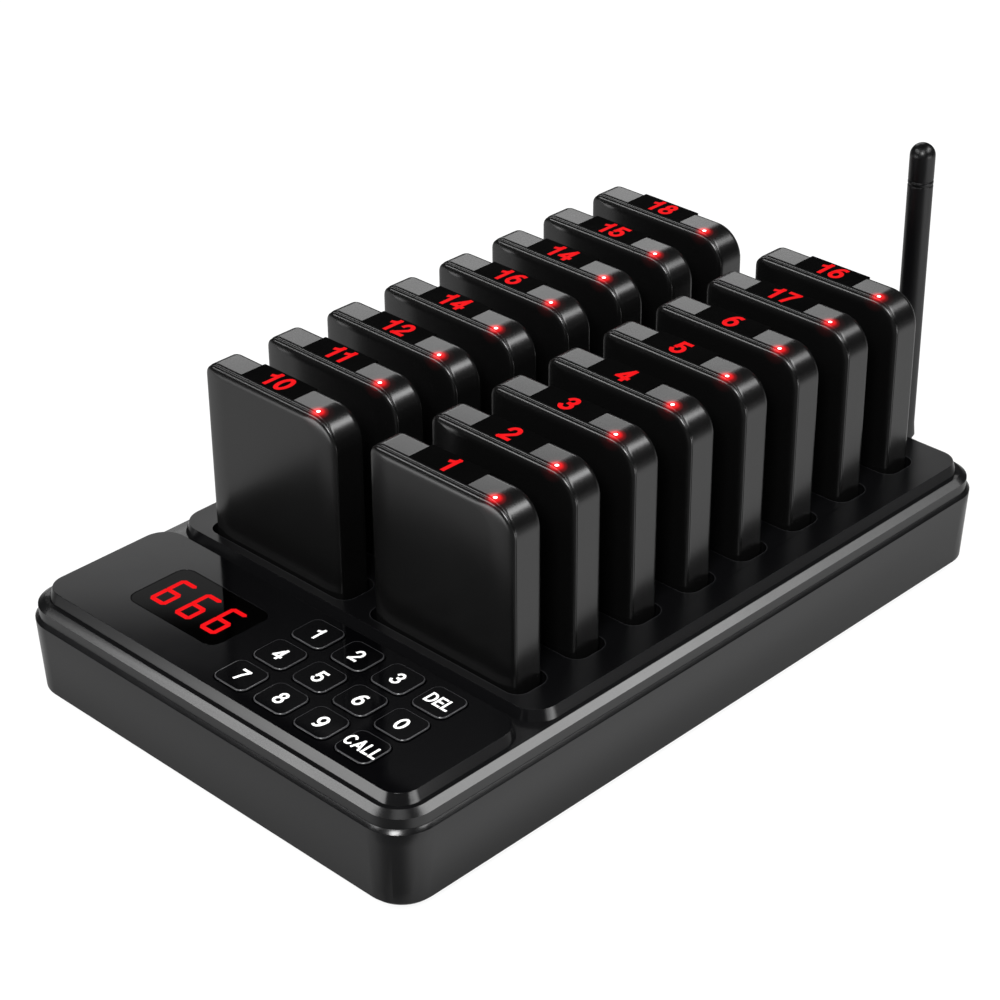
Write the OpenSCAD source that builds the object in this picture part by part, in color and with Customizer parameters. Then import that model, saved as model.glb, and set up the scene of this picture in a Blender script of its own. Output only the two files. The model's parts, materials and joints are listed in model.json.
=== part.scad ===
// Guest pager system: a charging base with a keypad, a display and an antenna,
// and sixteen pagers that stand in two columns of slots.
// Millimetres. X runs along the front edge, Y to the back, Z up from the table.

/* [Base] */
// Corner radius of the base, seen from above
base_r = 13; // [12:0.5:14]
// Height of the underside of the base above the table
foot_gap = 1.5; // [1:0.1:3]
// Height of the lower shell's wall, up to its top bevel
wall_h = 25.8; // [25:0.1:30]
// How far the wall leans in towards its bottom
wall_draft = 1.3; // [0.5:0.1:1.6]
// Width and height of the bevel round the bottom edge
bottom_bevel = 1.6; // [0.8:0.1:2]
// Width and height of the bevel round the lower shell's top edge
seam_bevel = 1.1; // [0.6:0.1:1.2]
// Thickness of the lower shell's wall at its bottom, and of its floor
shell_t = 2.4; // [2:0.1:2.6]
// Height of the upper shell's upright band
band_h = 3.3; // [2.4:0.1:5]
// Step in from the lower shell to the upper shell's band
band_inset = 1.2; // [1.1:0.1:1.6]
// Width of the upper shell's top bevel
bevel_w = 2.2; // [1.6:0.1:2.4]
// Height of the upper shell's top bevel
bevel_h = 1.7; // [1.2:0.1:2.4]
// Thickness of the upper shell's deck
deck_t = 2.4; // [2:0.1:2.8]
// Thickness of the lip that drops inside the lower shell
lip_t = 1.6; // [1.2:0.1:1.8]
// Depth of that lip
lip_h = 1.9; // [1.5:0.1:3]
// Clearance between the lip and the lower shell
lip_gap = 0.25; // [0.15:0.05:0.4]

/* [Raised panel and tray] */
// Height of the control panel and the charging tray above the deck
rise = 3.5; // [3:0.1:4.5]
// How far their edges lean in towards the top
rise_inset = 1.2; // [0.8:0.1:1.6]
// Floor of the groove between them and the base's bevel
groove_w = 1.4; // [1:0.1:2]
// Strip of tray beside the outer ends of the slots
tray_side = 9.9; // [9:0.1:16]
// Strip of tray in front of the front slots
tray_front_strip = 3.05; // [2.5:0.05:8]
// Strip of tray behind the last slots
tray_back_strip = 10.95; // [8:0.05:20]
// Gap from the panel's top edge to the tray's top edge
panel_to_tray = 4.9; // [4.4:0.1:5.4]
// Corner radius of the panel and the tray where they face each other
inner_corner_r = 8; // [6:0.5:10]

/* [Display] */
// Corner radius of the display window
window_r = 4; // [2:0.5:6]
// Thickness of the window pane
window_t = 1.3; // [1:0.1:1.6]
// Window, in from the panel's left edge
window_side = 23.05; // [12:0.05:24]
// Window, back from the panel's front edge
window_front = 13.1; // [8:0.1:18]
// Width of the three-digit display body
digits_w = 37.8; // [34:0.1:42]
// Depth of the display body
digits_d = 19.2; // [16:0.1:22]
// Height of the display body
digits_h = 7.9; // [7:0.1:8.5]
// Ledge that carries the window at its left and right ends
ledge_x = 0.95; // [0.6:0.05:1.5]
// Ledge that carries the window at its front and back
ledge_y = 2.2; // [1:0.1:3]

/* [Keys] */
// Width of a key
key_w = 13.2; // [11:0.1:13.6]
// Depth of a key
key_d = 12; // [10:0.1:12.4]
// Corner radius of a key
key_r = 2.8; // [2:0.1:4]
// Space between keys from left to right
key_space_x = 3.6; // [2:0.1:4.4]
// Space between keys from front to back
key_space_y = 2.7; // [2:0.1:4]
// Strip of panel at the right of the keys
key_side = 17.3; // [12:0.1:20]
// Strip of panel in front of the keys
key_front = 3.4; // [3:0.1:6]
// Strip of panel behind the keys
key_back = 3.1; // [2.8:0.1:6]
// Height of a key above the panel
key_proud = 0.6; // [0.3:0.1:1]
// Bevel on a key's top edge
key_bevel = 0.5; // [0.2:0.1:0.8]
// Clearance round a key in the panel
key_gap = 0.35; // [0.2:0.05:0.5]
// Width of the flange that stops a key under the panel
key_flange = 0.75; // [0.5:0.05:0.8]
// Thickness of that flange
key_flange_t = 1.2; // [0.8:0.1:1.4]
// Travel of a key
key_travel = 0.7; // [0.4:0.1:0.7]

/* [Pagers] */
// Width of a pager
pager_w = 57.4; // [54:0.1:58.4]
// Height of a pager
pager_h = 67; // [60:0.5:75]
// Corner radius of a pager, seen from the front
pager_r = 6.5; // [5:0.5:8]
// Depth of a pager's front cover
cover_d = 2; // [1.8:0.1:2.6]
// Depth of a pager's rear case
case_d = 10.9; // [10:0.1:11.4]
// Width of the round-over along the front cover's edge
cover_round = 5; // [3:0.1:5.4]
// Radius along the rear case's back edge
case_round = 2.6; // [1.5:0.1:3.2]
// Wall of a pager's rear case
pager_wall = 1.8; // [1.4:0.1:2]
// Width of the number window in a pager's top
label_w = 23.2; // [18:0.1:26]
// Centre of the number window, left of the pager's middle
label_x = -2.4; // [-4:0.1:0]
// Thickness of the number window
label_t = 0.6; // [0.4:0.1:0.8]
// Position of the pager's light, right of its middle
light_x = 19.5; // [17:0.1:20.4]
// Radius of the light
light_r = 0.9; // [0.6:0.05:1]
// Thickness of a pager's circuit board
pcb_t = 1.2; // [0.8:0.1:1.6]
// Room between the circuit board and the walls round it
pcb_margin = 5; // [3:0.5:8]
// Circuit board, behind the parting line
pcb_y = 5; // [4.8:0.1:5.6]
// Width of a pager's battery
battery_w = 30; // [20:1:36]
// Height of a pager's battery
battery_h = 26; // [18:1:30]
// Thickness of a pager's battery
battery_t = 4.2; // [3:0.1:4.5]
// Radius of a pager's vibration motor
motor_r = 5; // [3:0.5:6]
// Thickness of the vibration motor
motor_t = 2.8; // [2:0.1:3.4]
// Width of a charging pad
pad_w = 4; // [3:0.1:5]
// Charging pads, each side of the pager's middle
pad_x = 8; // [6:0.5:12]

/* [Slots] */
// Strip of tray between two slots of a column
row_gap = 10.2; // [6:0.1:14]
// Strip of tray between the two columns of slots
column_gap = 8.6; // [6:0.1:14]
// Clearance beyond each end of a pager in its slot
slot_end_gap = 2.8; // [1:0.1:3.4]
// Clearance in front of and behind a pager in its slot
slot_side_gap = 0.7; // [0.4:0.1:0.9]
// Corner radius of a slot
slot_r = 4.5; // [3:0.1:6]
// Depth of a slot below the tray's top
slot_depth = 8.5; // [7:0.1:9]
// Wall and floor of the pocket under a slot
pocket_t = 1.5; // [1.2:0.1:1.7]
// Clearance under a pager that stands in its slot
seat_gap = 0.3; // [0.2:0.05:0.4]

/* [Antenna] */
// Antenna, right of the middle of the base
antenna_x = 40.5; // [30:0.5:60]
// Height of the antenna's socket above the table
antenna_z = 20; // [19:0.5:20]
// Length of the mast above its hinge
mast_l = 111; // [90:0.5:140]
// Radius of the mast
mast_r = 4.5; // [4:0.1:5]
// Distance of the ring groove below the mast's tip
ring_drop = 17.5; // [12:0.5:24]
// Radius of the antenna's threaded barrel
barrel_r = 3; // [2.6:0.05:3.2]
// Radius of the hinge pin
hinge_r = 1.5; // [1.2:0.05:1.8]
// Running clearance of the swivel and the hinge
run_gap = 0.05; // [0.02:0.01:0.08]

/* [Power socket] */
// Power socket, left of the middle of the base
jack_x = -45; // [-52:0.5:-38]
// Radius of the hole that takes the plug
jack_r = 2.85; // [2.75:0.05:3]

/* [Hidden] */
$fn = 48;
rows = 8;                            // pagers in a column
free = 0.3;                          // gap between pieces that move apart
close = 0.05;                        // gap between pieces that are fixed together
fuse = 0.4;                          // overlap of shapes joined into one piece
past = 1;                            // how far a cut runs past the face it opens

// Heights
wall_top = foot_gap + wall_h;
seam_z = wall_top + seam_bevel;
band_top = seam_z + band_h;
deck_z = band_top + bevel_h;
deck_under = deck_z - deck_t;
top_z = deck_z + rise;
floor_z = foot_gap + shell_t + 0.2;
pager_z = top_z - slot_depth + seat_gap;
pocket_z = top_z - slot_depth;

// Pagers and slots
pager_t = cover_d + case_d;
crease_y = cover_d - pager_t / 2;    // parting line, from the pager's middle
slot_w = pager_w + 2 * slot_end_gap;
slot_d = pager_t + 2 * slot_side_gap;
row_pitch = slot_d + row_gap;
column_pitch = slot_w + column_gap;
light_y = light_r + 0.3;             // behind the parting line
pad_d = 5;                           // depth of a charging pad's recess
pad_t = 0.5;
contact_gap = 0.15;                  // left between a resting pad and its contact

// Plan: the slots and the keys give the tops of tray and panel, and these the base.
// Every outline shares the corner centres of the base.
band_r = base_r - band_inset;
deck_r = band_r - bevel_w;
top_r = deck_r - groove_w - rise_inset;
inside_r = base_r - wall_draft - shell_t;
lip_r = inside_r - lip_gap;
cavity_r = lip_r - lip_t;
key_pitch_x = key_w + key_space_x;
key_pitch_y = key_d + key_space_y;
panel_d = key_front + 2 * key_pitch_y + key_d + key_back;
tray_d = tray_front_strip + slot_d + (rows - 1) * row_pitch + tray_back_strip;
half_w = column_pitch / 2 + slot_w / 2 + tray_side;
half_l = (panel_d + panel_to_tray + tray_d) / 2;
cx = half_w - top_r;
cy = half_l - top_r;
rear_y = cy + base_r;
wall_inside = cy + inside_r;
panel_front = -half_l;
panel_back = panel_front + panel_d;
panel_mid = (panel_front + panel_back) / 2;
tray_front = panel_back + panel_to_tray;
tray_back = half_l;
function row_y(i) = tray_front + tray_front_strip + slot_d / 2 + i * row_pitch;
function col_x(side) = side * column_pitch / 2;

// Display window
window_w = digits_w + 2 * ledge_x;
window_d = digits_d + 2 * ledge_y;
window_x = window_side + window_w / 2 - half_w;
window_y = panel_front + window_front + window_d / 2;

// Boards, screws, posts and feet
board_t = 1.6;
panel_board_top = top_z - window_t - free - digits_h;
tray_board_top = pocket_z - pocket_t - 3.2;
screw_r = 1.4;
head_r = 2.7;
head_h = 2.2;
head_z = 10;
boss_r = 3.2;
boss_z = seam_z - 4.4;
screw_in = 4.05;                     // screws, in from the lip
screw_x = cx + cavity_r - screw_in;
corner_in = 7.3;                     // corner screws and feet, in from the corner centres
screw_y = cy - corner_in;
screw_rows = [-screw_y, 0, screw_y];
post_r = 3;
post_in = 3.4;                       // space from the screws' bosses to the panel's posts
board_edge = 4.6;                    // board past the middle of its posts
panel_post_x = screw_x - boss_r - post_r - post_in;
panel_post_y = panel_d / 2 - 6.95;
tray_post_in = 7.4;                  // space from the screws' bosses to the tray's posts
tray_post_x = screw_x - boss_r - post_r - tray_post_in;
rear_room = 7.2;                     // charging board, in from the rear wall
tray_board_front = tray_front + tray_front_strip;
tray_board_back = wall_inside - rear_room;
tray_board_mid = (tray_board_front + tray_board_back) / 2;
tray_board_l = tray_board_back - tray_board_front;
tray_post_y = tray_board_l / 2 - 11;
tray_post_rows = [-tray_post_y, 0, tray_post_y];
foot_in = 12.2;                      // feet, in from the corner centres along X
foot_x = cx - foot_in;
foot_y = cy - corner_in;
foot_r = 7.5;
foot_sunk = 0.6;

// Key pieces
flange_top = deck_z - 0.15;
flange_bottom = flange_top - key_flange_t;
dome_r = 4;
dome_h = 0.4;
sheet_t = 1;
sheet_past = 0.8;                    // membrane past the block of keys
dome_top = panel_board_top + sheet_t + dome_h;
plunger_r = 2;
key_list = [
    ["key_1", 0, 2], ["key_2", 1, 2], ["key_3", 2, 2], ["key_del", 3, 2],
    ["key_4", 0, 1], ["key_5", 1, 1], ["key_6", 2, 1], ["key_0", 3, 1],
    ["key_7", 0, 0], ["key_8", 1, 0], ["key_9", 2, 0], ["key_call", 3, 0]
];
key_block_w = 3 * key_pitch_x + key_w;
key_block_d = 2 * key_pitch_y + key_d;
key_block_x = half_w - key_side - key_block_w / 2;
key_block_y = panel_front + key_front + key_block_d / 2;
key_x = key_block_x - 1.5 * key_pitch_x;
key_y = key_block_y - key_pitch_y;
function key_at(k) = [key_x + k[1] * key_pitch_x, key_y + k[2] * key_pitch_y];

// Openings in the deck under the panel and the tray
opening_r = 4;
panel_seat = 2.2;                    // deck under the panel's left and right edges
panel_open_w = 2 * (half_w - panel_seat);
panel_open_front = panel_front + key_front - key_flange - free;
panel_open_back = panel_back - key_back + key_flange + free;
pocket_room = pocket_t + free;
tray_open_w = column_pitch + slot_w + 2 * pocket_room;
tray_open_front = row_y(0) - slot_d / 2 - pocket_room;
tray_open_back = row_y(rows - 1) + slot_d / 2 + pocket_room;

// Power socket
nose_r = 4;
jack_w = 9;
jack_h = 11;
jack_d = 13;
pin_r = 1.05;
jack_z = tray_board_top - board_t - jack_h / 2;
wall_cut = shell_t + wall_draft + past;

// Antenna
nut_r = 6;
nut_t = 1.8;
collar_y = rear_y + nut_t + free;
collar_r = 5.2;
collar_l = 4.8;
ear_r = 4.3;
ear_t = 2.3;
tongue_t = 4.2;
hinge_y = collar_y + collar_l + ear_r + 0.5;
mast_foot = ear_r + 0.9;             // bottom of the round mast above the hinge
base_y = -(hinge_y + mast_r - rear_y) / 2; // puts the origin under the middle

// ---------------------------------------------------------------- shapes

// A rounded block whose outline grows and shrinks with height. ax and ay are half the
// distances between the corner centres, and profile lists [corner radius, height] upwards.
module profile_block(ax, ay, profile) {
    n = len(profile) - 1;
    low = profile[0][1];
    high = profile[n][1];
    for (sx = [-1, 1], sy = [-1, 1])
        translate([sx * ax, sy * ay, 0])
            rotate_extrude() polygon(concat([[0, low]], profile, [[0, high]]));
    rotate([90, 0, 0]) linear_extrude(height = 2 * ay, center = true)
        polygon(concat([for (p = profile) [ax + p[0], p[1]]],
                       [for (i = [n:-1:0]) [-ax - profile[i][0], profile[i][1]]]));
    rotate([90, 0, 90]) linear_extrude(height = 2 * ax, center = true)
        polygon(concat([for (p = profile) [ay + p[0], p[1]]],
                       [for (i = [n:-1:0]) [-ay - profile[i][0], profile[i][1]]]));
}

// A plain rounded slab from z0 to z1
module slab(w, d, r, z0, z1) {
    translate([0, 0, z0]) linear_extrude(height = z1 - z0) {
        square([w - 2 * r, d], center = true);
        square([w, d - 2 * r], center = true);
        for (sx = [-1, 1], sy = [-1, 1])
            translate([sx * (w / 2 - r), sy * (d / 2 - r)]) circle(r);
    }
}

// A cylinder that runs along +Y from y0 to y1
module rod_y(r, y0, y1) {
    translate([0, y0, 0]) rotate([-90, 0, 0]) cylinder(r = r, h = y1 - y0);
}

// A cylinder that runs along X, centred
module rod_x(r, l) {
    rotate([0, 90, 0]) cylinder(r = r, h = l, center = true);
}

// Moves the base's own frame to the origin under the middle of the whole
module placed() {
    translate([0, base_y, 0]) children();
}

module at_screws() {
    for (sx = [-1, 1], y = screw_rows) translate([sx * screw_x, y, 0]) children();
}

module at_panel_posts() {
    for (sx = [-1, 1], sy = [-1, 1])
        translate([sx * panel_post_x, panel_mid + sy * panel_post_y, 0]) children();
}

module at_tray_posts() {
    for (sx = [-1, 1], y = tray_post_rows)
        translate([sx * tray_post_x, tray_board_mid + y, 0]) children();
}

module at_feet() {
    for (sx = [-1, 1], sy = [-1, 1]) translate([sx * foot_x, sy * foot_y, 0]) children();
}

module at_slots() {
    for (side = [-1, 1], i = [0:rows - 1]) translate([col_x(side), row_y(i), 0]) children();
}

// ---------------------------------------------------------------- base

module lower_shell() {
    color("#2b2b2d") placed() difference() {
        union() {
            difference() {
                profile_block(cx, cy, [
                    [base_r - wall_draft - bottom_bevel, foot_gap],
                    [base_r - wall_draft, foot_gap + bottom_bevel],
                    [base_r, wall_top],
                    [base_r - seam_bevel, seam_z]
                ]);
                slab(2 * (cx + inside_r), 2 * (cy + inside_r), inside_r, floor_z, seam_z + past);
            }
            // posts under the screws and the boards
            at_screws() {
                translate([0, 0, floor_z - fuse]) cylinder(r = head_r + 1.8, h = head_z + 2 - floor_z + fuse);
                translate([0, 0, floor_z]) cylinder(r = boss_r + 0.3, h = boss_z - floor_z);
            }
            at_panel_posts() translate([0, 0, floor_z - fuse])
                cylinder(r = post_r, h = panel_board_top - board_t - floor_z + fuse);
            at_tray_posts() translate([0, 0, floor_z - fuse])
                cylinder(r = post_r, h = tray_board_top - board_t - floor_z + fuse);
            // flat pad for the antenna's nut
            translate([antenna_x, 0, antenna_z])
                rod_y(nut_r + 1.2, rear_y - wall_cut + past, rear_y);
        }
        at_screws() {
            translate([0, 0, foot_gap - past])
                cylinder(r = head_r + free, h = head_z - foot_gap + past);
            cylinder(r = screw_r + free, h = seam_z);
        }
        at_feet() translate([0, 0, foot_gap - past])
            cylinder(r = foot_r + 2 * close, h = foot_sunk + past);
        translate([antenna_x, 0, antenna_z]) rod_y(barrel_r + 0.2, rear_y - wall_cut, rear_y + past);
        translate([jack_x, 0, jack_z]) rod_y(nose_r + 0.2, rear_y - wall_cut, rear_y + past);
    }
}

module upper_shell() {
    color("#2b2b2d") placed() difference() {
        union() {
            difference() {
                union() {
                    profile_block(cx, cy, [[band_r, seam_z], [band_r, band_top], [deck_r, deck_z]]);
                    slab(2 * (cx + lip_r), 2 * (cy + lip_r), lip_r, seam_z - lip_h, seam_z + fuse);
                }
                slab(2 * (cx + cavity_r), 2 * (cy + cavity_r), cavity_r,
                     seam_z - lip_h - past, deck_under);
            }
            at_screws() translate([0, 0, boss_z]) cylinder(r = boss_r, h = deck_under - boss_z + fuse);
        }
        at_screws() translate([0, 0, boss_z - 1]) cylinder(r = screw_r + 0.05, h = deck_under - boss_z);
        translate([0, (panel_open_front + panel_open_back) / 2, 0])
            slab(panel_open_w, panel_open_back - panel_open_front, opening_r,
                 deck_under - past, deck_z + past);
        translate([0, (tray_open_front + tray_open_back) / 2, 0])
            slab(tray_open_w, tray_open_back - tray_open_front, opening_r,
                 deck_under - past, deck_z + past);
    }
}

// Raised plate with leaning edges: rounder corners where it faces its neighbour
module raised_plate(front, back, front_r, back_r) {
    length = back - front;
    translate([0, (front + back) / 2, 0]) for (half = [[-1, front_r], [1, back_r]]) {
        r = half[1];
        intersection() {
            profile_block(half_w - r, length / 2 - r, [[r + rise_inset, deck_z], [r, top_z]]);
            translate([0, half[0] * length, 0])
                cube([4 * half_w, 2 * length, 4 * top_z], center = true);
        }
    }
}

module control_panel() {
    color("#0c0c0d") placed() difference() {
        raised_plate(panel_front, panel_back, top_r, inner_corner_r);
        translate([window_x, window_y, 0]) {
            slab(window_w + 4 * close, window_d + 4 * close, window_r + 2 * close,
                 top_z - window_t, top_z + past);
            slab(digits_w + 2 * free, digits_d + 2 * free, 1, deck_z - past, top_z - window_t / 2);
        }
        for (k = key_list) translate(concat(key_at(k), [0]))
            slab(key_w + 2 * key_gap, key_d + 2 * key_gap, key_r + key_gap,
                 deck_z - past, top_z + past);
    }
}

module charging_tray() {
    color("#1d1d1f") placed() difference() {
        union() {
            raised_plate(tray_front, tray_back, inner_corner_r, top_r);
            at_slots() slab(slot_w + 2 * pocket_t, slot_d + 2 * pocket_t, slot_r + pocket_t,
                            pocket_z - pocket_t, deck_z + fuse);
        }
        at_slots() {
            slab(slot_w, slot_d, slot_r, pocket_z, top_z + past);
            for (sx = [-1, 1]) translate([sx * pad_x, 0, 0])
                slab(pad_w, pad_d, 1, pocket_z - pocket_t - past, pocket_z + past);
        }
    }
}

module display_window() {
    color("#050505") placed() translate([window_x, window_y, 0])
        slab(window_w, window_d, window_r, top_z - window_t, top_z - 0.05);
}

module display_module() {
    color("#3a3a3a") placed() translate([window_x, window_y, 0])
        slab(digits_w, digits_d, 0.6, panel_board_top, panel_board_top + digits_h);
}

module keypad_membrane() {
    color("#8c8c8c") placed() union() {
        translate([key_block_x, key_block_y, 0])
            slab(key_block_w + 2 * sheet_past, key_block_d + 2 * sheet_past, 2,
                 panel_board_top, panel_board_top + sheet_t);
        for (k = key_list) translate(concat(key_at(k), [panel_board_top + sheet_t - fuse]))
            cylinder(r = dome_r, h = dome_h + fuse);
    }
}

module main_board() {
    color("#1e5631") placed() translate([0, panel_mid, 0])
        slab(2 * (panel_post_x + board_edge), 2 * (panel_post_y + board_edge), 1,
             panel_board_top - board_t, panel_board_top);
}

module charging_board() {
    color("#1e5631") placed() translate([0, tray_board_mid, 0])
        slab(2 * (tray_post_x + board_edge), tray_board_l, 1,
             tray_board_top - board_t, tray_board_top);
}

// One bent strip: foot on the board, riser, and an arch that meets the pager's pad
module leaf_contact(h) {
    arch = 2;
    t = 0.4;
    rotate([90, 0, 90]) linear_extrude(height = pad_w - 1.6, center = true) {
        difference() {
            translate([0, h - arch]) circle(arch);
            translate([0, h - arch]) circle(arch - t);
            translate([-2 * arch, h - 3 * arch]) square([4 * arch, 2 * arch]);
        }
        translate([arch - t, 0]) square([t, h - arch + 0.01]);
        translate([-arch, h - arch - 1]) square([t, 1.01]);
        translate([-arch, 0]) square([2 * arch, t]);
    }
}

module charging_contacts() {
    color("#c9a24b") placed() at_slots() for (sx = [-1, 1])
        translate([sx * pad_x, 0, tray_board_top])
            leaf_contact(pager_z - contact_gap - tray_board_top);
}

module rubber_feet() {
    color("#161616") placed() at_feet() union() {
        cylinder(r1 = foot_r - 0.6, r2 = foot_r, h = 0.6);
        translate([0, 0, 0.6]) cylinder(r = foot_r, h = foot_gap + foot_sunk - 0.6);
    }
}

module housing_screws() {
    color("#8a8d91") placed() at_screws() difference() {
        union() {
            translate([0, 0, head_z - head_h]) cylinder(r = head_r, h = head_h);
            translate([0, 0, head_z - fuse]) cylinder(r = screw_r, h = deck_under - head_z - 2);
        }
        translate([0, 0, head_z - head_h - 1]) cylinder(r = 1.5, h = 2.1, $fn = 6);
    }
}

// ---------------------------------------------------------------- power socket

module power_jack() {
    color("#111111") placed() translate([jack_x, 0, jack_z]) {
        difference() {
            union() {
                translate([-jack_w / 2, wall_inside - jack_d, -jack_h / 2])
                    cube([jack_w, jack_d - 0.1, jack_h]);
                rod_y(nose_r, wall_inside - 2, rear_y - 1);
            }
            rod_y(jack_r, rear_y - 10.5, rear_y);
        }
        rod_y(pin_r, rear_y - 10.9, rear_y - 2);
    }
}

// ---------------------------------------------------------------- antenna

module antenna_base() {
    color("#b08d3c") placed() translate([antenna_x, 0, antenna_z]) {
        rod_y(barrel_r + 2.4, wall_inside - 2.1, wall_inside - 0.1);
        rod_y(barrel_r, wall_inside - 2.1, collar_y + collar_l - 0.9);
        translate([0, rear_y, 0]) rotate([-90, 0, 0]) cylinder(r = nut_r, h = nut_t, $fn = 6);
    }
}

module antenna_elbow() {
    color("#1a1a1a") placed() translate([antenna_x, 0, antenna_z]) difference() {
        union() {
            rod_y(collar_r, collar_y, collar_y + collar_l);
            for (sx = [-1, 1]) translate([sx * (tongue_t / 2 + 0.2 + ear_t / 2), 0, 0]) {
                translate([0, hinge_y, 0]) rod_x(ear_r, ear_t);
                translate([-ear_t / 2, collar_y + collar_l - 2, -ear_r + 0.3])
                    cube([ear_t, hinge_y - collar_y - collar_l + 2, 2 * ear_r - 0.6]);
            }
            translate([0, hinge_y, 0]) rod_x(hinge_r, tongue_t + 2);
        }
        rod_y(barrel_r + run_gap, collar_y - 1, collar_y + collar_l - 0.6);
    }
}

module antenna_mast() {
    groove = 0.35;
    color("#1a1a1a") placed() translate([antenna_x, hinge_y, antenna_z]) difference() {
        union() {
            rod_x(ear_r - 0.1, tongue_t);
            translate([-tongue_t / 2, -ear_r + 0.7, 0])
                cube([tongue_t, 2 * ear_r - 1.4, mast_foot + fuse]);
            translate([0, 0, mast_foot]) rotate_extrude() polygon(concat(
                [[0, 0], [mast_r - 0.6, 0], [mast_r, 0.6],
                 [mast_r, mast_l - mast_foot - ring_drop - 2.4],
                 [mast_r - groove, mast_l - mast_foot - ring_drop - 2.2],
                 [mast_r - groove, mast_l - mast_foot - ring_drop - 1.6],
                 [mast_r, mast_l - mast_foot - ring_drop - 1.4],
                 [mast_r, mast_l - mast_foot - ring_drop - 0.4],
                 [mast_r - groove, mast_l - mast_foot - ring_drop - 0.2],
                 [mast_r - groove, mast_l - mast_foot - ring_drop + 0.4],
                 [mast_r, mast_l - mast_foot - ring_drop + 0.6]],
                [for (a = [0:15:90])
                    [mast_r * cos(a), mast_l - mast_foot - mast_r + mast_r * sin(a)]]));
        }
        rod_x(hinge_r + run_gap, tongue_t + 2);
    }
}

// ---------------------------------------------------------------- keys

module key(k) {
    low = flange_bottom;
    color("#0c0c0d") placed() translate(concat(key_at(k), [0])) union() {
        profile_block(key_w / 2 - key_r, key_d / 2 - key_r, [
            [key_r, low], [key_r, top_z + key_proud - key_bevel],
            [key_r - key_bevel, top_z + key_proud]
        ]);
        slab(key_w + 2 * key_flange, key_d + 2 * key_flange, key_r, low, flange_top);
        translate([0, 0, dome_top + key_travel + 0.15])
            cylinder(r = plunger_r, h = low + fuse - dome_top - key_travel - 0.15);
    }
}

// ---------------------------------------------------------------- pagers

// Turns a block that grows upwards into one that grows to the front (-1) or back (1)
module facing(dir) {
    translate([0, crease_y, 0]) rotate([90 * -dir, 0, 0]) children();
}

module pager_frame(side, row) {
    placed() translate([col_x(side), row_y(row), pager_z]) children();
}

module pager_block(profile, dir) {
    translate([0, 0, pager_h / 2]) facing(dir)
        profile_block(pager_w / 2 - pager_r, pager_h / 2 - pager_r, profile);
}

function quarter(r, rx, ry, y0, steps) =
    [for (i = [0:steps]) [r - rx + rx * cos(90 * i / steps), y0 + ry * sin(90 * i / steps)]];

// Front cover: a dished plate with a soft edge and a lip that enters the case
module pager_cover(side, row) {
    skin = 1.2;
    lip_in = pager_r - pager_wall - 0.1;
    color("#262628") pager_frame(side, row) difference() {
        union() {
            pager_block(quarter(pager_r, cover_round, cover_d, 0, 5), -1);
            pager_block([[lip_in, -1.2], [lip_in, fuse]], -1);
        }
        pager_block([[lip_in - 1.2, -2], [lip_in - 1.2, cover_d - skin]], -1);
    }
}

// Rear case, with the pieces fastened in it as solids of their own
module pager_case(side, row) {
    back_in = case_d - pager_wall;
    board_y = crease_y + pcb_y;
    board_w = pager_w - 2 * (pager_wall + pcb_margin);
    board_h = pager_h - 2 * (pager_wall + pcb_margin);
    board_z = pager_wall + pcb_margin;
    stud_r = 1.5;
    stud_x = board_w / 2 - stud_r - 1;
    stud_z = [board_z + stud_r + 1, board_z + board_h - stud_r - 1];
    top_in = pager_h - pager_wall;
    label_y0 = crease_y + 0.9;
    label_y1 = crease_y + case_d - case_round;
    color("#262628") pager_frame(side, row) {
        difference() {
            union() {
                difference() {
                    pager_block(concat([[pager_r - 0.3, 0]], [[pager_r, 0.3]],
                        quarter(pager_r, case_round, case_round, case_d - case_round, 4)), 1);
                    pager_block([[pager_r - pager_wall, -past], [pager_r - pager_wall, back_in]], 1);
                }
                for (sx = [-1, 1], z = stud_z) translate([sx * stud_x, 0, z])
                    rod_y(stud_r, board_y + pcb_t + close, crease_y + back_in + fuse);
            }
            translate([label_x - label_w / 2, label_y0, pager_h - label_t])
                cube([label_w, label_y1 - label_y0, label_t + past]);
            translate([light_x, crease_y + light_y, top_in - past])
                cylinder(r = light_r + close, h = pager_wall + 2 * past);
            for (sx = [-1, 1]) translate([sx * pad_x, 0, 0])
                slab(pad_w + 1, pad_d, 0.5, -past, pad_t);
        }
        // number window
        translate([label_x - label_w / 2 + close, label_y0 + close, pager_h - label_t + close])
            cube([label_w - 2 * close, label_y1 - label_y0 - 2 * close, label_t - close]);
        // light pipe
        translate([light_x, crease_y + light_y, top_in])
            cylinder(r = light_r, h = pager_wall + 2 * close);
        // circuit board
        translate([-board_w / 2, board_y, board_z]) cube([board_w, pcb_t, board_h]);
        // battery, low on the board's front
        translate([-battery_w / 2, board_y - battery_t, board_z + 3])
            cube([battery_w, battery_t - close, battery_h]);
        // vibration motor, above the battery
        translate([battery_w / 2 - motor_r, 0, board_z + board_h - motor_r - 3])
            rod_y(motor_r, board_y - motor_t, board_y - close);
        // charging pads
        for (sx = [-1, 1]) translate([sx * pad_x, 0, 0])
            slab(pad_w + 1 - 2 * close, pad_d - 2 * close, 0.5, 0, pad_t - close);
    }
}

// ---------------------------------------------------------------- nodes

lower_shell();
upper_shell();
control_panel();
charging_tray();
display_window();
display_module();
keypad_membrane();
main_board();
charging_board();
charging_contacts();
antenna_base();
antenna_elbow();
antenna_mast();
power_jack();
rubber_feet();
housing_screws();
for (k = key_list) key(k);
for (side = [-1, 1], row = [0:rows - 1]) {
    name = str("pager_", side < 0 ? "left_" : "right_", row + 1);
    pager_case(side, row);
    pager_cover(side, row);
}
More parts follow.
